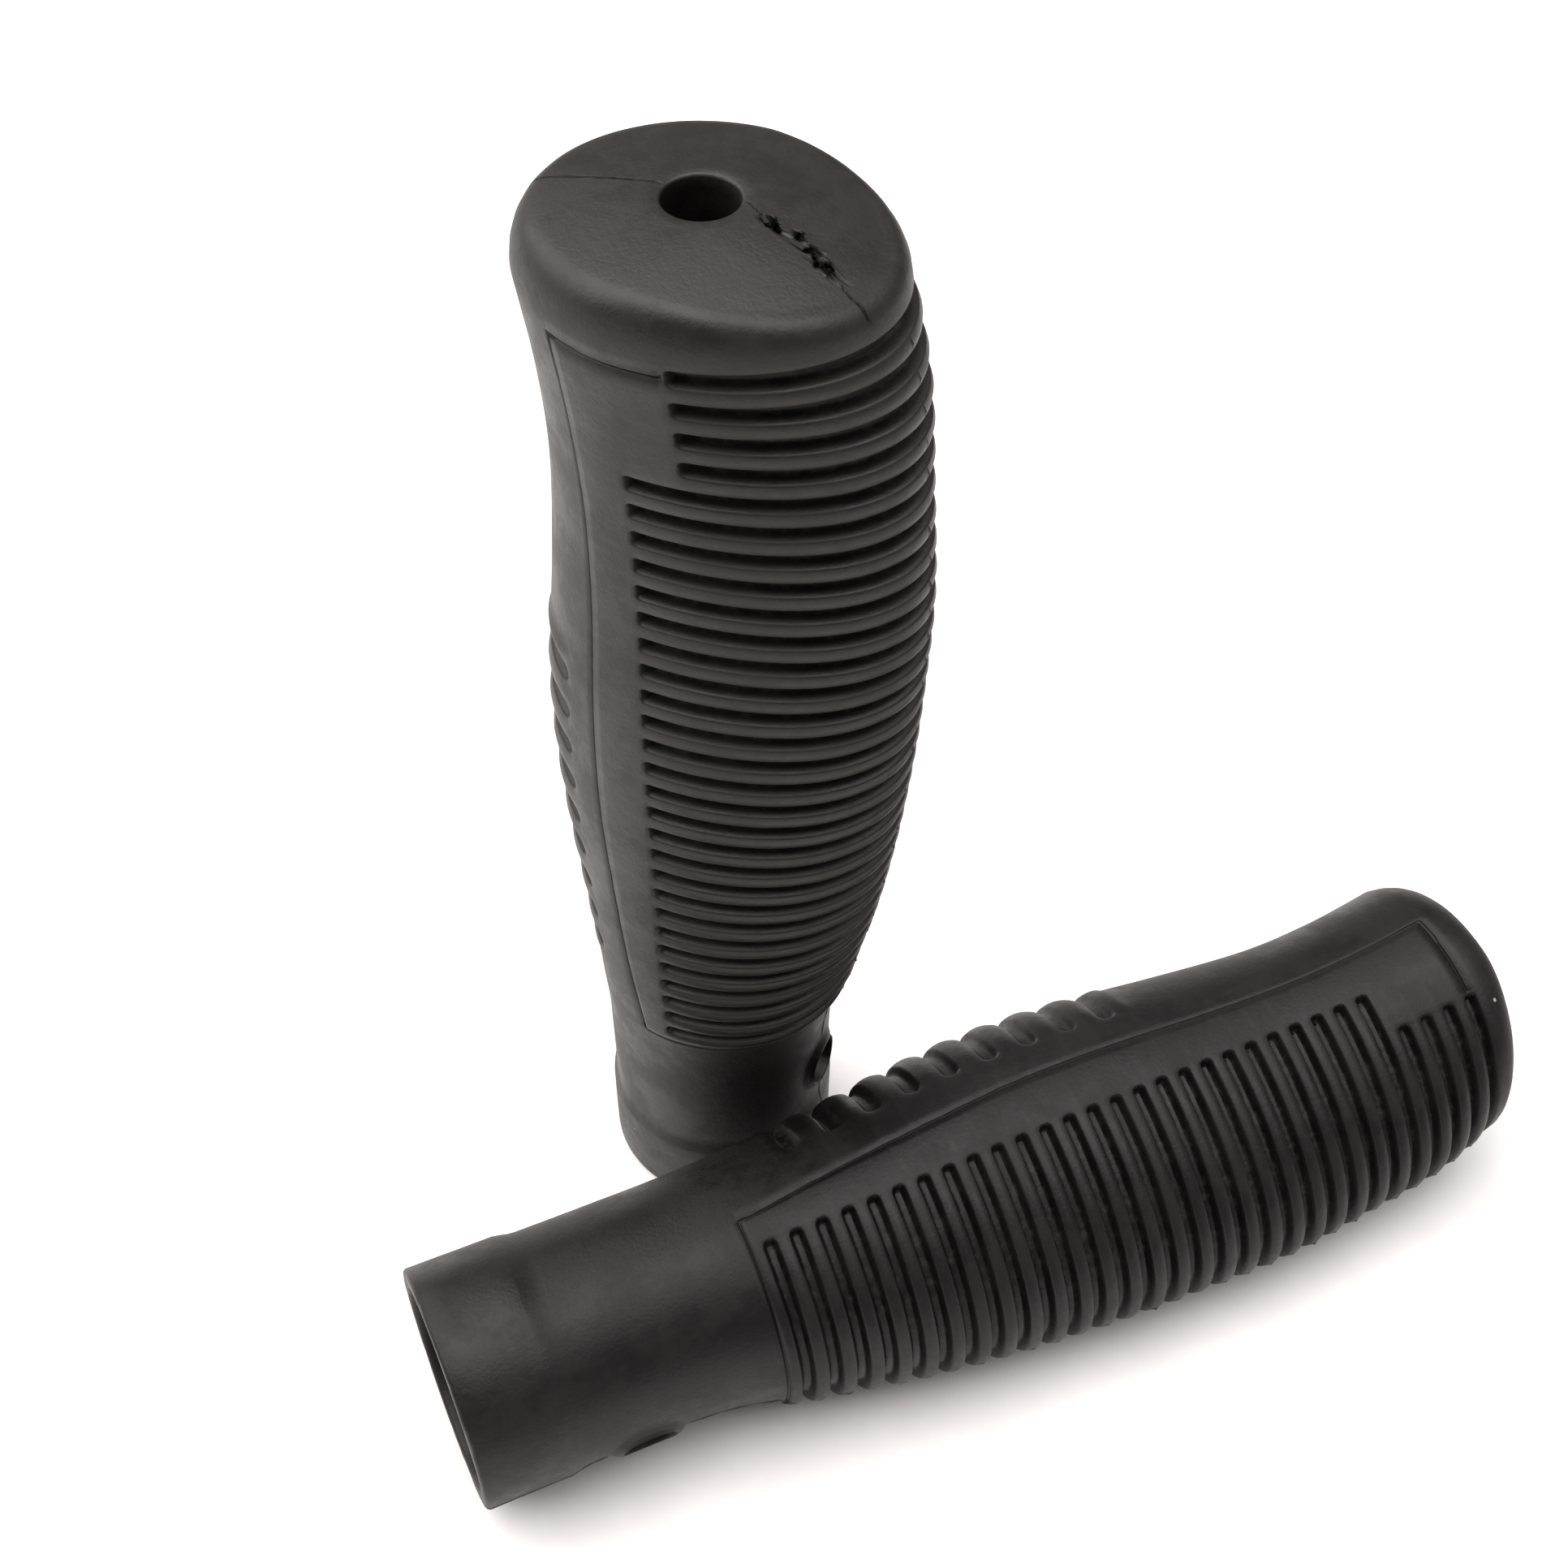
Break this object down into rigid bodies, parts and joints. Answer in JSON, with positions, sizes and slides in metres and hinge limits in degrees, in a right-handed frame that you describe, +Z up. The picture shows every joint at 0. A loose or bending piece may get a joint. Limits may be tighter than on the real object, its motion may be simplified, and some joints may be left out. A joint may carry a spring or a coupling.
{
  "type": "bar end grips",
  "caption": "Moulded rubber handlebar grips with a round mouth, a cross-grooved palm side, scooped finger grooves and a vented closed end, laid out standing and lying.",
  "frame": {"origin": "on the floor under the middle of the pair's bounding box", "axes": "+Z up along the standing grip, from its mouth to its closed end; +X along the lying grip, from its mouth to its closed end; -Y towards the side the lying grip is on"},
  "size_m": [0.1296, 0.0636, 0.1295],
  "materials": {
    "rubber": "satin"
  },
  "bodies": {
    "standing_grip": {"standing_grip": "rubber"},
    "lying_grip": {"lying_grip": "rubber"}
  },
  "joints": [
    {"name": "lying_grip_lift", "type": "slide", "parent": "standing_grip", "child": "lying_grip", "axis": [0, -0.7071, 0.7071], "range_m": [0, 0.1]}
  ]
}
